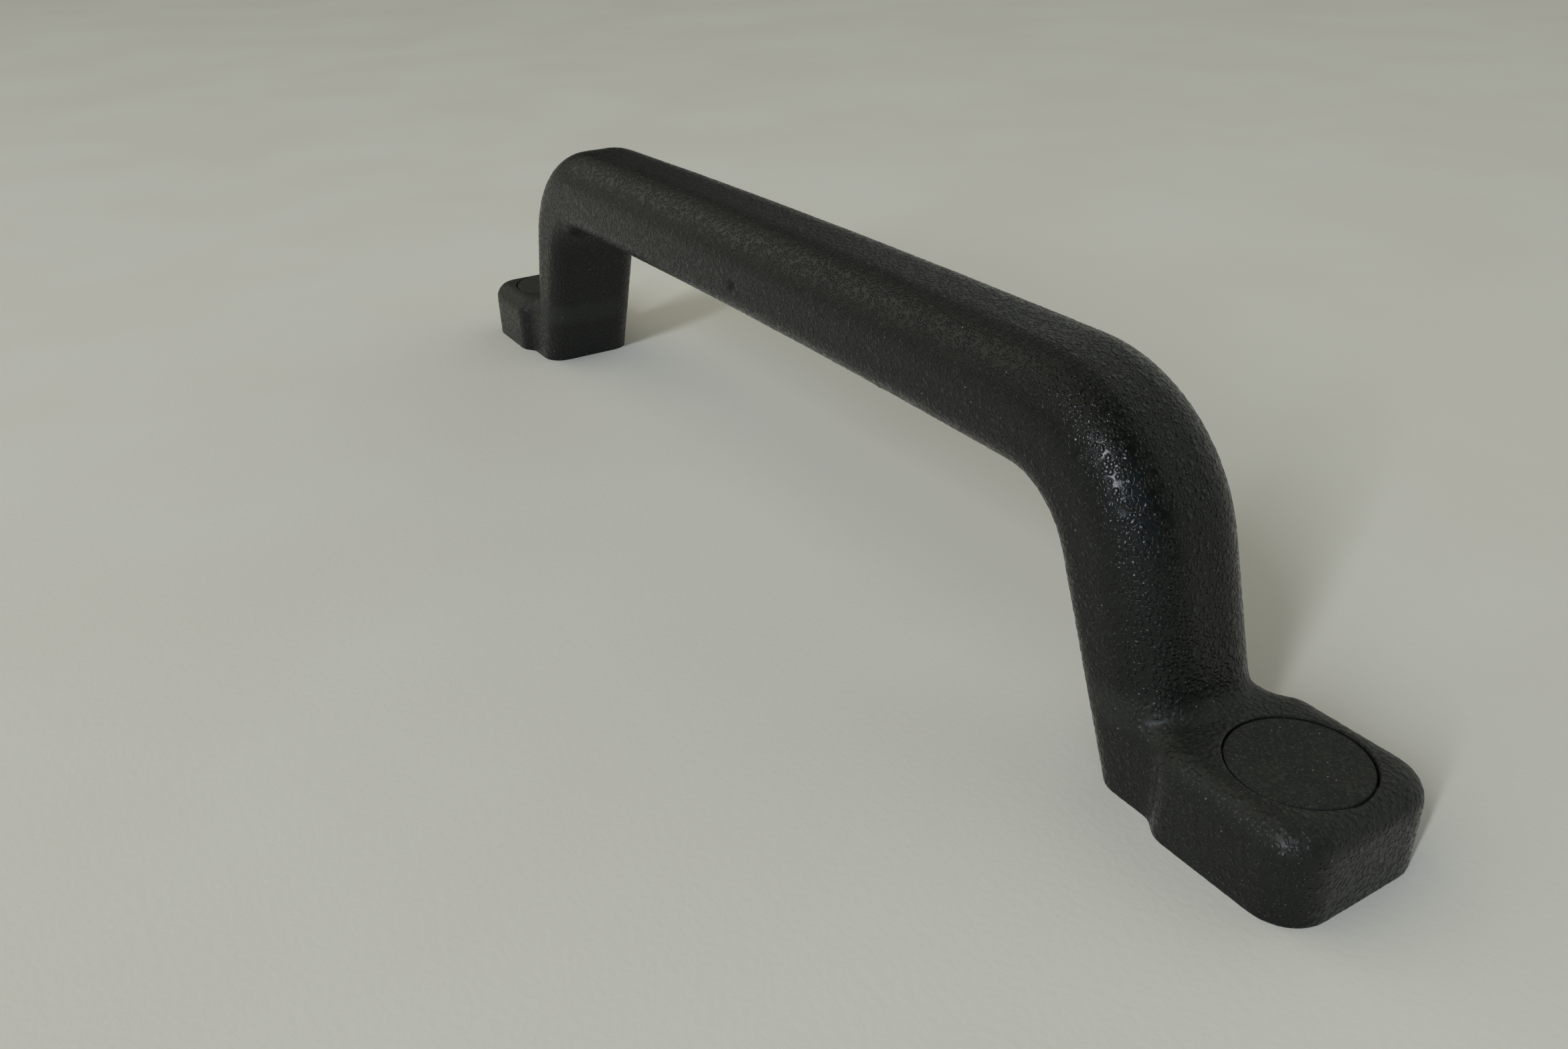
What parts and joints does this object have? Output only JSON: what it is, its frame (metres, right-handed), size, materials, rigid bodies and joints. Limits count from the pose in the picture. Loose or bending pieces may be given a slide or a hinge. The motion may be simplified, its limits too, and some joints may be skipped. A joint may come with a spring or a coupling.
{
  "type": "car door grab handle",
  "caption": "Padded black grab handle for a car door: a bridge-shaped bar on splayed legs, with a flat foot, a hidden screw hole and a push-in cap at each end.",
  "frame": {"origin": "middle of the plane that the handle is screwed to, midway between its two feet", "axes": "+X along the bar to the front foot, +Z away from the mounting plane, +Y across the bar"},
  "size_m": [0.26, 0.0254, 0.0545],
  "materials": {
    "grained_skin": "satin",
    "foam": "matte",
    "insert_steel": "satin",
    "sleeve_steel": "satin",
    "socket_plastic": "satin",
    "cap_plastic": "matte",
    "pad_rubber": "matte"
  },
  "bodies": {
    "handle": {"grip_skin": "grained_skin", "foam_core": "foam", "core_rod": "insert_steel", "front_foot_plate": "insert_steel", "front_spacer_sleeve": "sleeve_steel", "front_load_washer": "sleeve_steel", "front_cap_socket": "socket_plastic", "front_foot_pad": "pad_rubber", "rear_foot_plate": "insert_steel", "rear_spacer_sleeve": "sleeve_steel", "rear_load_washer": "sleeve_steel", "rear_cap_socket": "socket_plastic", "rear_foot_pad": "pad_rubber"},
    "front_cap": {"front_screw_cap": "cap_plastic"},
    "rear_cap": {"rear_screw_cap": "cap_plastic"}
  },
  "joints": [
    {"name": "front_cap_pull", "type": "slide", "parent": "handle", "child": "front_cap", "axis": [0, 0, 1], "range_m": [0, 0.012]},
    {"name": "rear_cap_pull", "type": "slide", "parent": "handle", "child": "rear_cap", "axis": [0, 0, 1], "range_m": [0, 0.012]}
  ]
}
